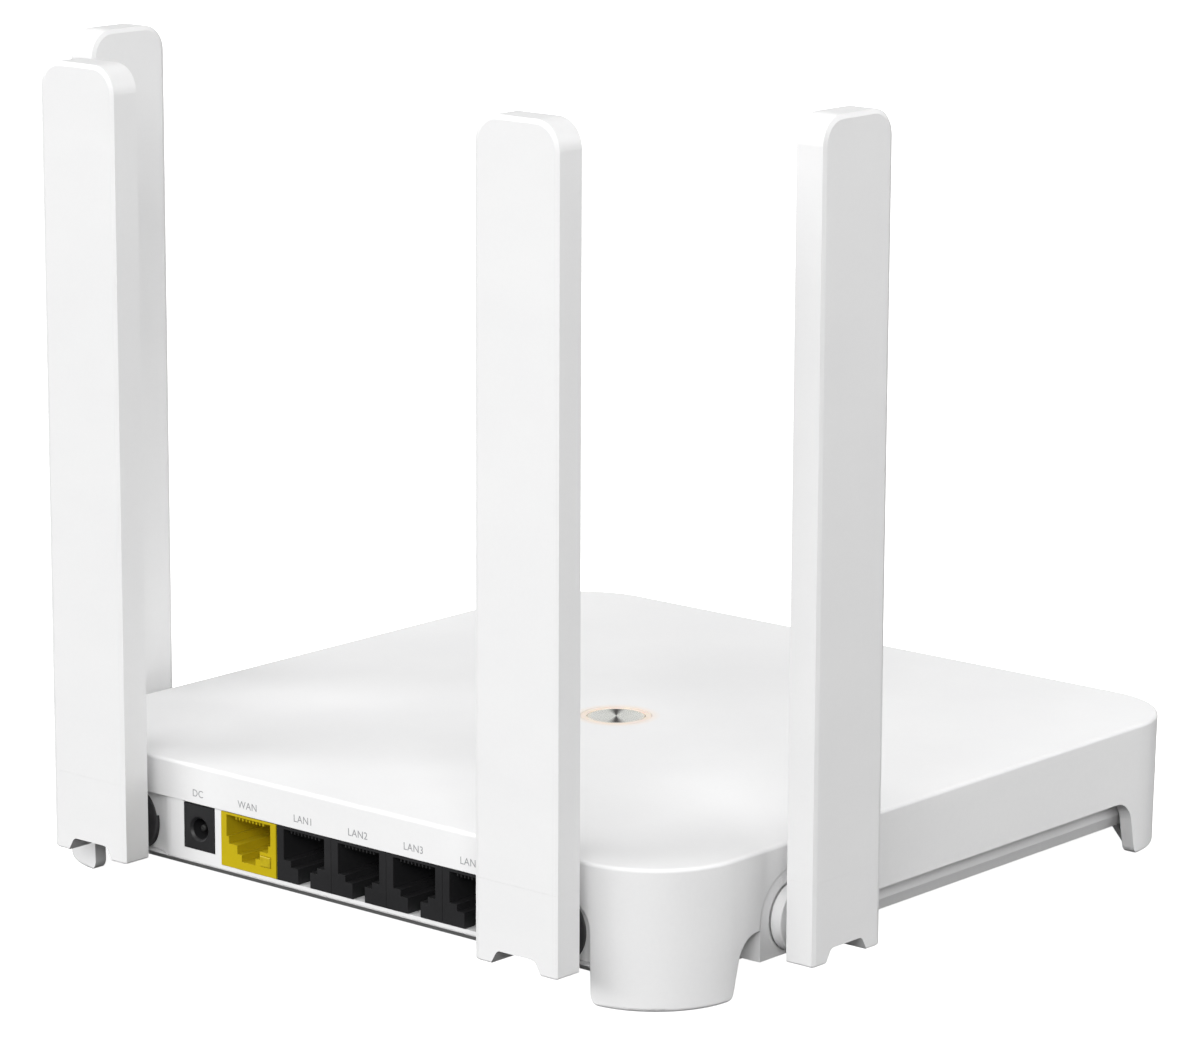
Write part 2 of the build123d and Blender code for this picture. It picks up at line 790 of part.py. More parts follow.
def make_hub(name, seat, gap, disc_back, disc_front, boss_end, stop_side):
    """Swivel hub: a disc in the housing, a hollow shaft behind it and a hinge tongue."""
    pin_place = gap + pin_inset
    shaft_end = boss_end - shaft_beyond
    with BuildPart() as hub:
        with BuildSketch(seat.offset(disc_back)):
            Circle(hub_radius)
        extrude(amount=disc_front - disc_back)
        fillet(hub.faces().sort_by(Axis((0, 0, 0), seat.z_dir))[-1].edges(), radius=0.4)
        with BuildSketch(seat.offset(shaft_end)):
            Circle(shaft_radius)
        extrude(amount=disc_back - shaft_end)
        with BuildSketch(profile_plane(seat)):
            with Locations(((disc_front + pin_place) / 2, 0)):
                Rectangle(pin_place - disc_front, neck_height)
            with Locations((pin_place, 0)):
                Circle(neck_height / 2)
        extrude(amount=neck_width / 2, both=True)
        with BuildSketch(profile_plane(seat)):
            with Locations((pin_place, 0)):
                Circle(pin_radius + running)
        extrude(amount=neck_width, both=True, mode=Mode.SUBTRACT)
        if stop_side:
            with BuildSketch(seat.offset(disc_front)):
                with BuildLine():
                    span = 2 * stop_half_angle
                    outer = CenterArc((0, 0), stop_radius - 0.15, -90 - span / 2, span)
                    inner = CenterArc((0, 0), stop_root, -90 - span / 2, span)
                    Line(outer @ 0, inner @ 0)
                    Line(outer @ 1, inner @ 1)
                make_face()
            extrude(amount=0.2 - stop_depth)
        with BuildSketch(seat.offset(shaft_end)):
            Circle(shaft_bore)
        extrude(amount=disc_back - shaft_end, mode=Mode.SUBTRACT)
    save(f"{name}_hub", hub.part)
    with BuildPart() as retainer:
        with BuildSketch(seat.offset(boss_end - 0.2 - lock_thick)):
            Circle(shaft_radius + lock_width)
            Circle(shaft_radius, mode=Mode.SUBTRACT)
        extrude(amount=lock_thick)
    save(f"{name}_retainer", retainer.part)


def make_hinge_pin(name, seat, gap):
    """Steel pin through the hub's tongue, held in the antenna's foot."""
    with BuildPart() as pin:
        with BuildSketch(profile_plane(seat)):
            with Locations((gap + pin_inset, 0)):
                Circle(pin_radius)
        extrude(amount=pin_length / 2, both=True)
    save(f"{name}_hinge_pin", pin.part)


def bevel_wide_faces(blade, seat, chosen):
    """Shallow bevel round both wide faces, on those of their edges that are chosen."""
    across = Axis((0, 0, 0), seat.z_dir)
    for end in (0, -1):
        face = blade.faces().sort_by(across)[end]
        edges = [edge for edge in face.edges() if any(edge.is_same(each) for each in chosen)]
        chamfer(edges, blade_bevel_face, blade_bevel_side, reference=face)


def make_foot(name, seat, gap):
    """Lower end of the antenna: the forked hinge, and a spigot inside the sleeve."""
    slot_half = neck_width / 2 + slot_clear
    slot_top = neck_height / 2 + 0.4
    slot_outer = pin_inset + neck_height / 2 + 0.25
    with BuildPart() as foot:
        with BuildSketch(seat.offset(gap)):
            with Locations((0, (blade_low + seam - seam_gap) / 2)):
                Rectangle(blade_width, seam - seam_gap - blade_low)
        extrude(amount=blade_thick)
        bevel_wide_faces(foot, seat, foot.edges().filter_by(Axis((0, 0, 0), seat.y_dir)))
        low_rim = foot.faces().sort_by(Axis((0, 0, 0), seat.y_dir))[0].edges()
        fillet(low_rim, radius=foot_edge)
        inset = blade_wall + spigot_fit
        with BuildSketch(seat.offset(gap + inset)):
            with Locations((0, spigot_top / 2)):
                Rectangle(blade_width - 2 * inset, spigot_top)
        extrude(amount=blade_thick - 2 * inset)

        # notch through the whole thickness, with leaning sides
        with BuildSketch(seat.offset(gap)) as notch:
            with BuildLine():
                Polyline(
                    (-notch_half_low - 0.7, blade_low - 1),
                    (-notch_half_high, blade_low + notch_height),
                    (notch_half_high, blade_low + notch_height),
                    (notch_half_low + 0.7, blade_low - 1),
                    close=True,
                )
            make_face()
            fillet(notch.vertices().group_by(Axis.Y)[-1], radius=notch_corner)
        extrude(amount=blade_thick, mode=Mode.SUBTRACT)

        # slot that the tongue swings through, open inwards and downwards
        with BuildSketch(seat.offset(gap)):
            with Locations((0, (slot_top + blade_low) / 2)):
                Rectangle(2 * slot_half, slot_top - blade_low)
        extrude(amount=slot_outer, mode=Mode.SUBTRACT)
        with BuildSketch(profile_plane(seat)):
            with Locations((gap + pin_inset, 0)):
                Circle(pin_radius)
        extrude(amount=pin_length / 2, both=True, mode=Mode.SUBTRACT)
        with BuildSketch(seat.offset(gap + (blade_thick - lead_slot[1]) / 2)):
            with Locations((0, (slot_top + spigot_top) / 2)):
                Rectangle(lead_slot[0], spigot_top - slot_top)
        extrude(amount=lead_slot[1], mode=Mode.SUBTRACT)
    save(f"{name}_foot", foot.part)


def make_sleeve(name, seat, gap):
    """Long hollow sleeve of the antenna, closed and rounded at its top."""
    with BuildPart() as sleeve:
        with BuildSketch(seat.offset(gap)) as outline:
            with Locations((0, (seam + blade_high) / 2)):
                Rectangle(blade_width, blade_high - seam)
            fillet(outline.vertices().group_by(Axis.Y)[-1], radius=blade_corner)
        extrude(amount=blade_thick)
        seam_face = sleeve.faces().sort_by(Axis((0, 0, 0), seat.y_dir))[0]
        bevel_wide_faces(sleeve, seat, sleeve.edges() - seam_face.edges())
        with BuildSketch(seat.offset(gap + blade_wall)):
            with Locations((0, (seam + blade_high - blade_wall) / 2)):
                Rectangle(blade_width - 2 * blade_wall, blade_high - blade_wall - seam)
            corner_cut = blade_high - blade_wall - 2.0
            with Locations((blade_width / 2, corner_cut), (-blade_width / 2, corner_cut)):
                Rectangle(6, 8, rotation=45, mode=Mode.SUBTRACT)
        extrude(amount=blade_thick - 2 * blade_wall, mode=Mode.SUBTRACT)
    save(f"{name}_sleeve", sleeve.part)


def make_element(name, seat, gap):
    """Printed dipole inside the sleeve: a board strip with two copper arms."""
    middle = gap + blade_thick / 2
    with BuildPart() as strip:
        with BuildSketch(seat.offset(middle - element_thick / 2)):
            with Locations((0, (element_low + element_high) / 2)):
                Rectangle(element_width, element_high - element_low)
        extrude(amount=element_thick)
    save(f"{name}_element", strip.part)
    with BuildPart() as copper:
        with BuildSketch(seat.offset(middle + element_thick / 2)):
            for height in arm_places:
                with Locations((0, height)):
                    Rectangle(arm_size[0], arm_size[1])
        extrude(amount=arm_thick)
    save(f"{name}_radiator", copper.part)


def make_lead(name, points):
    """Thin coaxial lead from a hub's shaft to its connector on the board."""
    runs = [(Vector(b) - Vector(a)).length for a, b in zip(points, points[1:])]
    turns = [
        (Vector(b) - Vector(a)).get_angle(Vector(c) - Vector(b))
        for a, b, c in zip(points, points[1:], points[2:])
    ]
    with BuildPart() as lead:
        with BuildLine() as route:
            radii = [
                0.45 * min(runs[i], runs[i + 1]) / tan(radians(turn / 2))
                for i, turn in enumerate(turns)
            ]
            FilletPolyline(*points, radius=radii)
        with BuildSketch(Plane(origin=route.line @ 0, z_dir=route.line % 0)):
            Circle(lead_radius)
        sweep()
    save(f"{name}_lead", lead.part)


def make_antenna(name, place, outward, gap, disc_back, disc_front, boss_end, stop_side):
    """All pieces of one antenna, on a seat whose z runs outwards and whose y runs up."""
    direction = Vector(*outward)
    seat = Plane(origin=place, x_dir=Vector(0, 0, 1).cross(direction), z_dir=direction)
    make_hub(name, seat, gap, disc_back, disc_front, boss_end, stop_side)
    make_hinge_pin(name, seat, gap)
    make_foot(name, seat, gap)
    make_sleeve(name, seat, gap)
    make_element(name, seat, gap)


make_top_cover()
make_bottom_cover()
make_rear_panel()
make_foot_pads()
make_rating_label()
make_cover_screws()

make_socket("wan_socket", wan_x, wan_width, wan_steps)
for number, centre in enumerate(lan_x, start=1):
    make_socket(f"lan_socket_{number}", centre, lan_width, lan_steps)
make_wan_lens()
make_contacts()
make_dc_jack()

make_board()
make_blocks("processor", [chip_place], chip_side, chip_side, chip_height)
make_blocks("radio_chips", radio_chips, radio_chip_side, radio_chip_side, radio_chip_height)
make_blocks("transformers", transformers, *transformer_size)
make_round_parts("capacitors", capacitors, capacitor_radius, capacitor_height)
make_round_parts("coax_connectors", coax_places, coax_radius, coax_height)
make_shield()
make_heat_sink()
make_light_ring()
make_button()

for side, word in ((1, "right"), (-1, "left")):
    rear_place = (side * rear_x, body_half, hub_z)
    make_antenna(
        f"rear_{word}",
        rear_place,
        (0, 1, 0),
        rear_gap,
        panel_back - body_half,
        panel_recess_face - body_half,
        rear_boss_inner - body_half,
        stop_side=True,
    )
    make_antenna(
        f"side_{word}",
        (side * body_half, side_y, hub_z),
        (side, 0, 0),
        side_gap,
        boss_face + side_hub_lift - body_half,
        side_hub_front,
        boss_inner - body_half,
        stop_side=False,
    )
    rear_end = rear_boss_inner - shaft_beyond
    make_lead(
        f"rear_{word}",
        [
            (side * rear_x, rear_end, hub_z),
            (side * rear_x, rear_end - 9, hub_z - 0.5),
            (side * (rear_x - 4), rear_end - 18, hub_z - 2.5),
            (side * (coax_x + 1.5), coax_rear_y, board_top + 0.7),
        ],
    )
    side_end = boss_inner - shaft_beyond
    make_lead(
        f"side_{word}",
        [
            (side * side_end, side_y, hub_z),
            (side * (side_end - 8), side_y, hub_z - 0.5),
            (side * (side_end - 16), side_y - 4, hub_z - 2.5),
            (side * (coax_x + 1.5), coax_side_y, board_top + 0.7),
        ],
    )
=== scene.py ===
import json
from math import cos, pi, radians, sin, tan

import bpy
from mathutils import Matrix, Vector


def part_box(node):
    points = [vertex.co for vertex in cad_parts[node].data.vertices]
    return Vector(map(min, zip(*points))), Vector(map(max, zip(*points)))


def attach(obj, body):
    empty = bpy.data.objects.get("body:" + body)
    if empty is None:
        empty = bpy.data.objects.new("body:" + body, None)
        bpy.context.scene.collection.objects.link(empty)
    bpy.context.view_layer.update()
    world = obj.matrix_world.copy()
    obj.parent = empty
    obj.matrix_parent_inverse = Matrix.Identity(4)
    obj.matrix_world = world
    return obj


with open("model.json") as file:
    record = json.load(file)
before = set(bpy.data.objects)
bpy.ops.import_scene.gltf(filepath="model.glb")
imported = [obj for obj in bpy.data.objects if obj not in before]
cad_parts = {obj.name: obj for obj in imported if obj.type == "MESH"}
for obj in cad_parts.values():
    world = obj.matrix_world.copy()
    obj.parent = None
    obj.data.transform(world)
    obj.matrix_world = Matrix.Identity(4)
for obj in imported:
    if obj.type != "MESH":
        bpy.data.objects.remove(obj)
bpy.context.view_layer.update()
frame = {"nodes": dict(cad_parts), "record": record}

MM = 0.001

# --- Camera, at the height and side that show the sockets -----------------------------
camera_place = Vector((-0.70032, 0.82040, 0.31244))
camera_azimuth = radians(220.766)
camera_elevation = radians(12.452)
camera_roll = radians(0.234)
camera_lens = 149.92  # on a sensor 36 mm wide

# --- Light ----------------------------------------------------------------------------
sky_zenith = 0.26
sky_horizon = 0.25
sky_nadir = 0.025
sky_edge = -0.08  # the ground stays dim up to here, just under the horizon
# azimuth as the camera's, elevation, distance, (width, height), and power in watts
LIGHTS = {
    "left_light": (radians(145), radians(25), 6.0, (3.6, 2.4), 200.0),
    "rear_light": (radians(180), radians(25), 6.0, (3.6, 2.4), 100.0),
    "camera_light": (radians(215), radians(25), 6.0, (3.6, 2.4), 218.0),
    "right_light": (radians(280), radians(25), 1.2, (0.8, 0.6), 4.6),
    "front_light": (radians(320), radians(25), 1.2, (0.8, 0.6), 3.3),
    "top_light": (radians(30), radians(70), 6.0, (3.6, 3.6), 92.0),
    "far_light": (radians(85), radians(15), 6.0, (3.6, 2.4), 110.0),
}

floor_glow = 0.95
floor_reach = 12.0
floor_mottle = 0.08

# --- Sizes that the looks follow ------------------------------------------------------
flow_size = 18 * MM  # faint marks left by the plastic's flow in its mould
gloss_size = 7 * MM
sink_size = 26 * MM  # slow hollows of a moulded face
sink_depth = 0.05 * MM
skirt_draft = radians(1.0)
label_height = 24.2 * MM  # middle of the printed words above the sockets
letter_size = 2.3 * MM
letter_weight = 0.006 * MM
print_thickness = 0.02 * MM
button_radius = 6.6 * MM
button_painted_ray_angle = radians(130.8)  # direction of the painted dark reflection rays across the button
button_painted_ray_spread = 0.45  # sine of the angle at which a painted ray has faded out
button_turn = 0.16 * MM  # pitch of the turned rings
# width of the painted highlight on the button's rim
button_rim_highlight_width = 1.2 * MM
ring_radius = 8.0 * MM
# how far the painted light of the ring reaches across the roof
painted_glow_reach = 2.4 * MM
lan_sockets = 4
comb_teeth = 9  # plastic teeth between a socket's contacts
comb_pitch = 1.02 * MM
comb_width = 0.42 * MM
comb_height = 0.8 * MM
comb_depth = 2.4 * MM
comb_inset = 0.4 * MM
socket_lintel = 0.5 * MM  # from a socket's top down to its mouth's ceiling


# === Node materials ===================================================================


class Finish:
    """A Principled material whose patterns are laid out in the object's own coordinates."""

    def __init__(self, name, roughness=0.5, metallic=0.0, **constants):
        self.material = bpy.data.materials.new(name)
        self.material.use_nodes = True
        self.nodes = self.material.node_tree.nodes
        self.links = self.material.node_tree.links
        self.shader = self.nodes["Principled BSDF"]
        self.shader.inputs["Roughness"].default_value = roughness
        self.shader.inputs["Metallic"].default_value = metallic
        for socket, value in constants.items():
            self.shader.inputs[socket.replace("_", " ")].default_value = value
        self.coordinates = self.nodes.new("ShaderNodeTexCoord").outputs["Object"]
        self.base = None
        self.normal = None

    def place(self, size, stretch=(1, 1, 1)):
        """Object coordinates divided by a pattern's size, and by its stretch along each axis."""
        mapping = self.nodes.new("ShaderNodeMapping")
        mapping.inputs["Scale"].default_value = [1 / (size * k) for k in stretch]
        self.links.new(self.coordinates, mapping.inputs["Vector"])
        return mapping.outputs["Vector"]

    def noise(self, size, detail=2.0, stretch=(1, 1, 1)):
        """Noise between 0 and 1, with features of about that size in metres."""
        node = self.nodes.new("ShaderNodeTexNoise")
        node.inputs["Scale"].default_value = 1.0
        node.inputs["Detail"].default_value = detail
        self.links.new(self.place(size, stretch), node.inputs["Vector"])
        return node.outputs["Fac"]

    def cells(self, size, stretch=(1, 1, 1)):
        """Distance to the nearest of many scattered points, that size apart."""
        node = self.nodes.new("ShaderNodeTexVoronoi")
        node.inputs["Scale"].default_value = 1.0
        self.links.new(self.place(size, stretch), node.inputs["Vector"])
        return node.outputs["Distance"]

    def span(self, value, low, high, start=0.25, end=0.75, smooth=False):
        """value from start to end becomes low to high, and is held outside that."""
        node = self.nodes.new("ShaderNodeMapRange")
        if smooth:
            node.interpolation_type = "SMOOTHSTEP"
        node.inputs["From Min"].default_value = start
        node.inputs["From Max"].default_value = end
        node.inputs["To Min"].default_value = low
        node.inputs["To Max"].default_value = high
        self.links.new(value, node.inputs["Value"])
        return node.outputs["Result"]

    def math(self, operation, *values):
        """The result of a math node on sockets or numbers."""
        node = self.nodes.new("ShaderNodeMath")
        node.operation = operation
        for socket, value in zip(node.inputs, values):
            if isinstance(value, (int, float)):
                socket.default_value = value
            else:
                self.links.new(value, socket)
        return node.outputs["Value"]

    def axes(self):
        """The three object coordinates, in metres."""
        node = self.nodes.new("ShaderNodeSeparateXYZ")
        self.links.new(self.coordinates, node.inputs["Vector"])
        return node.outputs["X"], node.outputs["Y"], node.outputs["Z"]

    def axis_distance(self):
        """Distance from the object's Z axis."""
        x, y, _ = self.axes()
        squares = self.math("ADD", self.math("MULTIPLY", x, x), self.math("MULTIPLY", y, y))
        return self.math("SQRT", squares)

    def mix(self, factor, first, second):
        """A colour between two, each a socket or an (r, g, b)."""
        node = self.nodes.new("ShaderNodeMix")
        node.data_type = "RGBA"
        self.links.new(factor, node.inputs["Factor"])
        for socket, value in ((node.inputs[6], first), (node.inputs[7], second)):
            if isinstance(value, tuple):
                socket.default_value = (*value, 1.0)
            else:
                self.links.new(value, socket)
        return node.outputs[2]

    def colour(self, value):
        self.base = value
        self.links.new(value, self.shader.inputs["Base Color"])

    def rough(self, value):
        self.links.new(value, self.shader.inputs["Roughness"])

    def round_edges(self, radius):
        """Softens sharp edges in the shading, as a mould leaves them."""
        node = self.nodes.new("ShaderNodeBevel")
        node.samples = 4
        node.inputs["Radius"].default_value = radius
        self.normal = node.outputs["Normal"]

    def bump(self, height, depth, strength=1.0):
        """Adds a height pattern, depth metres deep, to the surface's normal."""
        node = self.nodes.new("ShaderNodeBump")
        node.inputs["Strength"].default_value = strength
        node.inputs["Distance"].default_value = depth
        self.links.new(height, node.inputs["Height"])
        if self.normal is not None:
            self.links.new(self.normal, node.inputs["Normal"])
        self.normal = node.outputs["Normal"]

    def done(self):
        if self.normal is not None:
            self.links.new(self.normal, self.shader.inputs["Normal"])
        return self.material


def moulded(name, light, dark, roughness, grain, grain_depth, edge=0.2 * MM, **constants):
    """Injection-moulded plastic: fine eroded grain, slight flow marks and uneven gloss."""
    finish = Finish(name, **constants)
    flow = finish.math("MULTIPLY", finish.noise(flow_size, 3.0, stretch=(1.6, 1.6, 0.7)), 0.7)
    speck = finish.math("MULTIPLY", finish.noise(grain * 2.5, detail=1.0), 0.3)
    tone = finish.span(finish.math("ADD", flow, speck), 0.0, 1.0, 0.3, 0.7)
    finish.colour(finish.mix(tone, dark, light))
    gloss = finish.noise(gloss_size, detail=4.0)
    finish.rough(finish.span(gloss, roughness - 0.05, roughness + 0.05, 0.3, 0.7))
    finish.round_edges(edge)
    finish.bump(finish.noise(sink_size, detail=1.0), sink_depth, 0.25)
    finish.bump(finish.noise(grain, detail=3.0), grain_depth, 0.6)
    return finish


def white_shell():
    return moulded(
        "white_shell",
        (0.755, 0.755, 0.755),
        (0.73, 0.73, 0.733),
        roughness=0.46,
        grain=0.35 * MM,
        grain_depth=0.012 * MM,
    ).done()


def white_roof():
    """The shell's white, with the light that leaks from the ring round the button painted onto it.
    """
    finish = moulded(
        "white_roof",
        (0.76, 0.76, 0.76),
        (0.735, 0.735, 0.738),
        roughness=0.56,
        grain=0.35 * MM,
        grain_depth=0.012 * MM,
        Specular_IOR_Level=0.15,
    )
    distance = finish.axis_distance()
    # painted light: the ring's amber light on the roof, fading outwards
    painted_glow_mask = finish.span(distance, 1.0, 0.0, ring_radius, ring_radius + painted_glow_reach, smooth=True)
    painted_ring_light = finish.math("MULTIPLY", painted_glow_mask, 0.35)
    finish.colour(finish.mix(painted_ring_light, finish.base, (0.80, 0.64, 0.50)))
    return finish.done()


def white_antenna():
    return moulded(
        "white_antenna",
        (0.765, 0.765, 0.765),
        (0.745, 0.745, 0.747),
        roughness=0.40,
        grain=0.30 * MM,
        grain_depth=0.008 * MM,
        edge=0.03 * MM,
    ).done()


def hub_dark():
    return moulded(
        "hub_dark",
        (0.085, 0.085, 0.088),
        (0.055, 0.055, 0.058),
        roughness=0.42,
        grain=0.25 * MM,
        grain_depth=0.01 * MM,
    ).done()


def yellow_socket():
    return moulded(
        "yellow_socket",
        (0.50, 0.385, 0.008),
        (0.45, 0.34, 0.007),
        roughness=0.40,
        grain=0.22 * MM,
        grain_depth=0.01 * MM,
        edge=0.12 * MM,
        Specular_IOR_Level=0.2,
    ).done()


def black_socket():
    return moulded(
        "black_socket",
        (0.021, 0.021, 0.022),
        (0.014, 0.014, 0.015),
        roughness=0.42,
        grain=0.22 * MM,
        grain_depth=0.01 * MM,
        edge=0.04 * MM,
        Specular_IOR_Level=0.3,
    ).done()


def chip_black():
    return moulded(
        "chip_black",
        (0.035, 0.035, 0.036),
        (0.022, 0.022, 0.024),
        roughness=0.60,
        grain=0.15 * MM,
        grain_depth=0.02 * MM,
    ).done()


def rubber_pad():
    return moulded(
        "rubber_pad",
        (0.10, 0.10, 0.10),
        (0.055, 0.055, 0.055),
        roughness=0.82,
        grain=0.40 * MM,
        grain_depth=0.04 * MM,
    ).done()


def lead_jacket():
    return moulded(
        "lead_jacket",
        (0.05, 0.05, 0.05),
        (0.03, 0.03, 0.03),
        roughness=0.45,
        grain=0.30 * MM,
        grain_depth=0.02 * MM,
    ).done()


def capacitor_sleeve():
    """Dark blue shrink sleeve."""
    return moulded(
        "capacitor_sleeve",
        (0.05, 0.06, 0.14),
        (0.03, 0.035, 0.09),
        roughness=0.30,
        grain=0.5 * MM,
        grain_depth=0.01 * MM,
    ).done()


def label_film():
    """Blank satin film with a faint fibre in it."""
    return moulded(
        "label_paper",
        (0.80, 0.80, 0.79),
        (0.74, 0.74, 0.735),
        roughness=0.55,
        grain=0.6 * MM,
        grain_depth=0.008 * MM,
    ).done()


def yellow_lens():
    """Frosted yellow light window."""
    finish = Finish(
        "yellow_lens",
        roughness=0.25,
        Subsurface_Weight=0.4,
        Subsurface_Radius=(0.0008, 0.0006, 0.0002),
    )
    cloud = finish.noise(1.2 * MM, detail=2.0)
    blend = finish.span(cloud, 0.0, 1.0)
    finish.colour(finish.mix(blend, (0.43, 0.33, 0.006), (0.50, 0.39, 0.012)))
    finish.rough(finish.span(finish.noise(0.5 * MM), 0.3, 0.4))
    finish.bump(finish.noise(0.3 * MM), 0.01 * MM, 0.5)
    return finish.done()


def metal(name, light, dark, roughness, grain, stretch=(1, 1, 1), depth=0.004 * MM):
    """Bare or plated metal, with a drawn or rolled grain where stretch isn't even."""
    finish = Finish(name, metallic=1.0)
    streak = finish.noise(grain, detail=4.0, stretch=stretch)
    finish.colour(finish.mix(finish.span(streak, 0.0, 1.0), dark, light))
    gloss = finish.noise(grain * 3, detail=2.0)
    finish.rough(finish.span(gloss, roughness - 0.07, roughness + 0.07))
    finish.round_edges(0.1 * MM)
    finish.bump(streak, depth, 0.6)
    return finish.done()


def contact_metal():
    return metal("contact_metal", (0.86, 0.66, 0.32), (0.76, 0.55, 0.24), 0.28, 0.3 * MM, (1, 6, 1))


def pin_metal():
    return metal("pin_metal", (0.72, 0.71, 0.69), (0.58, 0.57, 0.56), 0.25, 0.3 * MM, (1, 8, 1))


def pin_nickel_painted_shade():
    # near-black pin, far darker than nickel's own colour: painted shade of the jack's bore
    return metal("pin_nickel_painted_shade", (0.06, 0.06, 0.06), (0.04, 0.04, 0.04), 0.70, 0.2 * MM)


def shield_steel():
    return metal("shield_steel", (0.70, 0.70, 0.71), (0.58, 0.58, 0.59), 0.34, 0.5 * MM, (8, 1, 1))


def screw_steel():
    return metal("screw_steel", (0.58, 0.58, 0.57), (0.42, 0.42, 0.43), 0.33, 0.25 * MM)


def heat_sink_aluminium():
    light, dark = (0.66, 0.66, 0.67), (0.55, 0.55, 0.56)
    return metal("heat_sink_aluminium", light, dark, 0.38, 0.35 * MM, (1, 9, 1))


def button_metal():
    """Spun disc: rings round the axis, and a painted reflection, a dark sheen that runs from the
    centre outwards.
    """
    finish = Finish("button_metal", metallic=0.4, Anisotropic=0.7)
    distance = finish.axis_distance()
    waver = finish.math("MULTIPLY", finish.noise(1.5 * MM, detail=3.0), 0.12 * MM)
    turns = finish.math("MULTIPLY", finish.math("ADD", distance, waver), 2 * pi / button_turn)
    rings = finish.math("SINE", turns)
    # painted reflection: one dark ray each way from the centre, as a spun surface reflects
    x, y, _ = finish.axes()
    angle = finish.math("SUBTRACT", finish.math("ARCTAN2", y, x), button_painted_ray_angle)
    across = finish.math("ABSOLUTE", finish.math("SINE", angle))
    painted_ray_mask = finish.span(across, 1.0, 0.0, 0.0, button_painted_ray_spread, smooth=True)
    ripple = finish.span(rings, 0.0, 1.0, -1.0, 1.0)
    bright = finish.mix(ripple, (0.76, 0.77, 0.73), (0.88, 0.88, 0.84))
    spun_with_painted_ray = finish.mix(painted_ray_mask, bright, (0.03, 0.025, 0.022))
    # painted highlight: the turned rim catching the ring's light
    painted_rim_highlight = finish.span(distance, 0.0, 0.8, button_radius - button_rim_highlight_width, button_radius, smooth=True)
    finish.colour(finish.mix(painted_rim_highlight, spun_with_painted_ray, (0.96, 0.88, 0.78)))
    finish.rough(finish.span(rings, 0.26, 0.36, -1.0, 1.0))
    tangent = finish.nodes.new("ShaderNodeTangent")
    tangent.direction_type = "RADIAL"
    tangent.axis = "Z"
    finish.links.new(tangent.outputs["Tangent"], finish.shader.inputs["Tangent"])
    finish.bump(rings, 0.004 * MM, 0.4)
    return finish.done()


def light_guide():
    """Frosted ring that glows amber, a little unevenly between its lamps."""
    finish = Finish(
        "light_guide",
        roughness=0.35,
        Emission_Strength=0.03,
        Subsurface_Weight=0.3,
        Subsurface_Radius=(0.002, 0.0012, 0.0006),
    )
    uneven = finish.noise(6 * MM, detail=1.0)
    blend = finish.span(uneven, 0.0, 1.0)
    warm = finish.mix(blend, (1.0, 0.55, 0.30), (1.0, 0.70, 0.46))
    finish.colour(finish.mix(blend, (0.80, 0.69, 0.60), (0.83, 0.74, 0.65)))
    finish.links.new(warm, finish.shader.inputs["Emission Color"])
    finish.rough(finish.span(finish.noise(0.5 * MM), 0.3, 0.42))
    finish.bump(finish.noise(0.25 * MM), 0.01 * MM, 0.5)
    return finish.done()


def led_white():
    finish = Finish(
        "led_white",
        roughness=0.2,
        Emission_Color=(1.0, 0.72, 0.42, 1.0),
        Emission_Strength=0.6,
    )
    spot = finish.noise(0.6 * MM)
    finish.colour(finish.mix(finish.span(spot, 0.0, 1.0), (0.9, 0.85, 0.6), (0.95, 0.93, 0.82)))
    finish.rough(finish.span(spot, 0.15, 0.3))
    return finish.done()


def board_green():
    """Solder mask over copper tracks."""
    finish = Finish("board_green", roughness=0.3, Coat_Weight=0.25)
    tracks = finish.cells(2.2 * MM, stretch=(1, 1, 4))
    edge = finish.span(tracks, 0.0, 1.0, 0.32, 0.40, smooth=True)
    finish.colour(finish.mix(edge, (0.020, 0.20, 0.075), (0.012, 0.12, 0.045)))
    finish.rough(finish.span(finish.noise(1.5 * MM), 0.25, 0.38))
    finish.bump(edge, 0.03 * MM, 0.6)
    return finish.done()


def ink():
    """Grey pad-printed ink, a little thin in places."""
    finish = Finish("label_ink", roughness=0.5)
    thin = finish.noise(0.35 * MM, detail=2.0)
    finish.colour(finish.mix(finish.span(thin, 0.0, 1.0), (0.22, 0.22, 0.23), (0.32, 0.32, 0.33)))
    finish.rough(finish.span(thin, 0.4, 0.6))
    finish.bump(thin, 0.005 * MM, 0.5)
    return finish.done()


SLOT_FINISHES = {
    "white_shell": white_shell,
    "white_antenna": white_antenna,
    "hub_dark": hub_dark,
    "yellow_socket": yellow_socket,
    "yellow_lens": yellow_lens,
    "black_socket": black_socket,
    "contact_metal": contact_metal,
    "pin_metal": pin_metal,
    "board_green": board_green,
    "chip_black": chip_black,
    "capacitor_sleeve": capacitor_sleeve,
    "shield_steel": shield_steel,
    "heat_sink_aluminium": heat_sink_aluminium,
    "light_guide": light_guide,
    "led_white": led_white,
    "button_metal": button_metal,
    "screw_steel": screw_steel,
    "rubber_pad": rubber_pad,
    "label_paper": label_film,
    "lead_jacket": lead_jacket,
}

# nodes that look unlike the rest of their slot
NODE_FINISHES = {"top_cover": white_roof, "dc_jack_pin": pin_nickel_painted_shade}


def dress(node, material):
    """Gives a CAD node that material in every one of its slots."""
    if not node.material_slots:
        node.data.materials.append(material)
    for each in node.material_slots:
        each.material = material


def dress_nodes():
    """A finished material on every CAD node; returns the materials by their record's slot."""
    made = {}
    for part in frame["record"]["subparts"]:
        name = part["material_slot"]
        if name not in made:
            made[name] = SLOT_FINISHES[name]()
        dress(frame["nodes"][part["node"]], made[name])
    for node, finish in NODE_FINISHES.items():
        dress(frame["nodes"][node], finish())
    return made


# === Printed words above the sockets ==================================================


def skirt_y(height):
    """Y of the outer face of the rear skirt at that height; the wall leans in going down."""
    low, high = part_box("top_cover")
    return high.y - (high.z - height) * tan(skirt_draft)


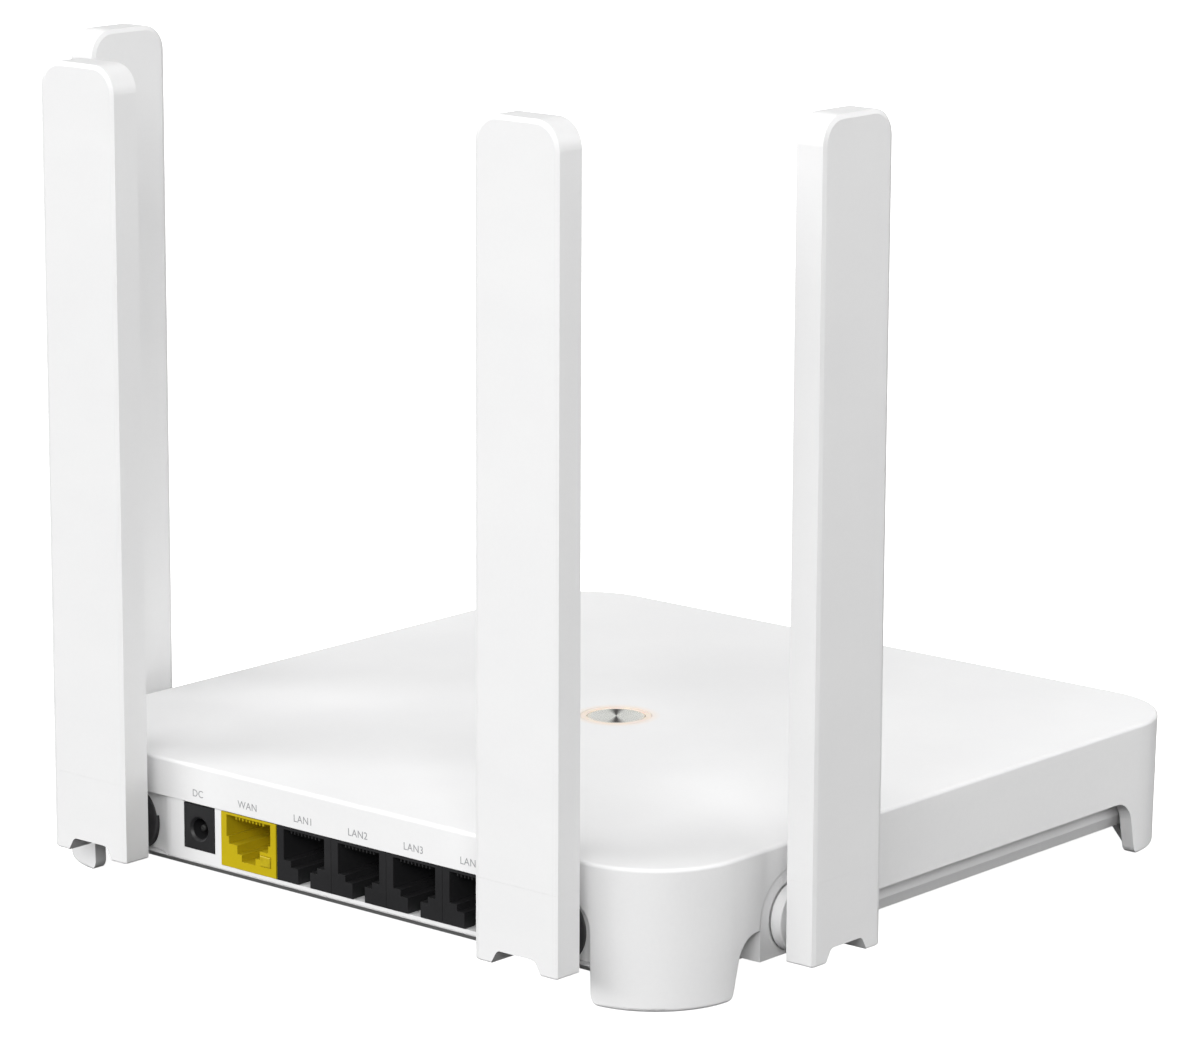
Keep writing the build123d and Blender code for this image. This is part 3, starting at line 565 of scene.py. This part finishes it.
def print_word(word, centre, material):
    """One printed word, a thin mesh that lies on the leaning skirt."""
    curve = bpy.data.curves.new(f"word_{word}", "FONT")
    curve.body = word
    curve.size = letter_size
    curve.align_x = "CENTER"
    curve.align_y = "CENTER"
    curve.extrude = print_thickness
    curve.offset = letter_weight
    curve.space_character = 1.05
    carrier = bpy.data.objects.new("carrier", curve)
    bpy.context.scene.collection.objects.link(carrier)
    bpy.context.view_layer.update()
    graph = bpy.context.evaluated_depsgraph_get()
    mesh = bpy.data.meshes.new_from_object(carrier.evaluated_get(graph))
    bpy.data.objects.remove(carrier)
    up = Vector((0, sin(skirt_draft), cos(skirt_draft)))
    right = Vector((-1, 0, 0))
    turn = Matrix((right, up, right.cross(up))).transposed()
    mesh.transform(turn.to_4x4())
    mesh.transform(Matrix.Translation((centre, skirt_y(label_height), label_height)))
    mesh.materials.clear()
    mesh.materials.append(material)
    piece = bpy.data.objects.new(f"word_{word}", mesh)
    bpy.context.scene.collection.objects.link(piece)
    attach(piece, "housing")
    return piece


def print_words():
    material = ink()
    words = {"dc_jack": "DC", "wan_socket": "WAN"}
    for number in range(1, lan_sockets + 1):
        words[f"lan_socket_{number}"] = f"LAN{number}"
    for node, word in words.items():
        low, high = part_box(node)
        print_word(word, (low.x + high.x) / 2, material)


# === Combs in the sockets =============================================================


def tooth(x, y, z):
    """Corners and faces of one comb tooth, narrower at its free lower end."""
    top, foot = comb_width / 2, comb_width / 3
    corners = []
    for reach, half in ((0, top), (-comb_height, foot)):
        corners += [
            (x - half, y, z + reach),
            (x + half, y, z + reach),
            (x + half, y - comb_depth, z + reach),
            (x - half, y - comb_depth, z + reach),
        ]
    faces = [(0, 1, 2, 3), (7, 6, 5, 4)]
    faces += [(i, i + 4, (i + 1) % 4 + 4, (i + 1) % 4) for i in range(4)]
    return corners, faces


def add_comb(node, material):
    """Teeth that hang from the ceiling of a socket's mouth, one on each side of each contact."""
    low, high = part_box(node)
    middle = (low.x + high.x) / 2
    corners, faces = [], []
    for i in range(comb_teeth):
        x = middle + (i - (comb_teeth - 1) / 2) * comb_pitch
        more_corners, more_faces = tooth(x, high.y - comb_inset, high.z - socket_lintel)
        faces += [tuple(k + len(corners) for k in face) for face in more_faces]
        corners += more_corners
    mesh = bpy.data.meshes.new(f"comb_{node}")
    mesh.from_pydata(corners, [], faces)
    mesh.materials.append(material)
    piece = bpy.data.objects.new(f"comb_{node}", mesh)
    bpy.context.scene.collection.objects.link(piece)
    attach(piece, "housing")


def add_combs(made):
    add_comb("wan_socket", made["yellow_socket"])
    for number in range(1, lan_sockets + 1):
        add_comb(f"lan_socket_{number}", made["black_socket"])


# === Studio ===========================================================================


def toward(azimuth, elevation):
    """Unit vector from the object to a camera or light at that azimuth and elevation."""
    return Vector((
        sin(azimuth) * cos(elevation),
        -cos(azimuth) * cos(elevation),
        sin(elevation),
    ))


def add_camera():
    """Camera at the fitted place, with its roll about the viewing line."""
    back = toward(camera_azimuth, camera_elevation)
    right = Vector((0, 0, 1)).cross(back).normalized()
    up = back.cross(right)
    rolled_right = right * cos(camera_roll) + up * sin(camera_roll)
    rolled_up = up * cos(camera_roll) - right * sin(camera_roll)
    turn = Matrix((rolled_right, rolled_up, back)).transposed()
    data = bpy.data.cameras.new("camera")
    data.lens = camera_lens
    data.sensor_width = 36.0
    data.clip_start = 0.01
    data.clip_end = 100.0
    camera = bpy.data.objects.new("camera", data)
    camera.matrix_world = Matrix.Translation(camera_place) @ turn.to_4x4()
    bpy.context.scene.collection.objects.link(camera)
    bpy.context.scene.camera = camera


def add_light(name, azimuth, elevation, distance, size, power):
    """Rectangular soft light that faces the origin."""
    back = toward(azimuth, elevation)
    data = bpy.data.lights.new(name, "AREA")
    data.shape = "RECTANGLE"
    data.size, data.size_y = size
    data.energy = power
    light = bpy.data.objects.new(name, data)
    light.location = back * distance
    light.rotation_euler = (-back).to_track_quat("-Z", "Y").to_euler()
    light.visible_camera = False
    bpy.context.scene.collection.objects.link(light)


def add_sky():
    """Grey dome, a little brighter overhead, over a dim ground."""
    world = bpy.data.worlds.new("studio")
    world.use_nodes = True
    nodes, links = world.node_tree.nodes, world.node_tree.links
    direction = nodes.new("ShaderNodeTexCoord")
    split = nodes.new("ShaderNodeSeparateXYZ")
    links.new(direction.outputs["Generated"], split.inputs["Vector"])
    height = nodes.new("ShaderNodeMapRange")
    height.inputs["From Min"].default_value = -1.0
    links.new(split.outputs["Z"], height.inputs["Value"])
    ramp = nodes.new("ShaderNodeValToRGB")
    ramp.color_ramp.elements.new(0.5)
    ramp.color_ramp.elements[0].position = 0.5 + 0.5 * sky_edge
    for element, level in zip(ramp.color_ramp.elements, (sky_nadir, sky_horizon, sky_zenith)):
        shade = level / sky_zenith
        element.color = (shade, shade, shade, 1.0)
    links.new(height.outputs["Result"], ramp.inputs["Fac"])
    links.new(ramp.outputs["Color"], nodes["Background"].inputs["Color"])
    nodes["Background"].inputs["Strength"].default_value = sky_zenith
    bpy.context.scene.world = world


def add_floor():
    """Plain white floor that fills the view and throws no light on the router."""
    far = floor_reach
    mesh = bpy.data.meshes.new("floor")
    corners = [(-far, -far, 0), (far, -far, 0), (far, far, 0), (-far, far, 0)]
    mesh.from_pydata(corners, [], [(0, 1, 2, 3)])
    floor = bpy.data.objects.new("floor", mesh)
    bpy.context.scene.collection.objects.link(floor)
    floor.visible_diffuse = False
    floor.visible_glossy = False
    finish = Finish(
        "floor_paint",
        roughness=0.8,
        Specular_IOR_Level=0.1,
        Emission_Color=(1.0, 1.0, 1.0, 1.0),
        Emission_Strength=floor_glow,
    )
    mottle = finish.noise(floor_mottle, detail=2.0)
    finish.colour(finish.mix(mottle, (0.80, 0.80, 0.80), (0.82, 0.82, 0.82)))
    mesh.materials.append(finish.done())


add_camera()
add_sky()
for light_name, light_values in LIGHTS.items():
    add_light(light_name, *light_values)
add_floor()
bpy.context.scene.view_settings.view_transform = "Standard"

materials = dress_nodes()
add_combs(materials)
print_words()
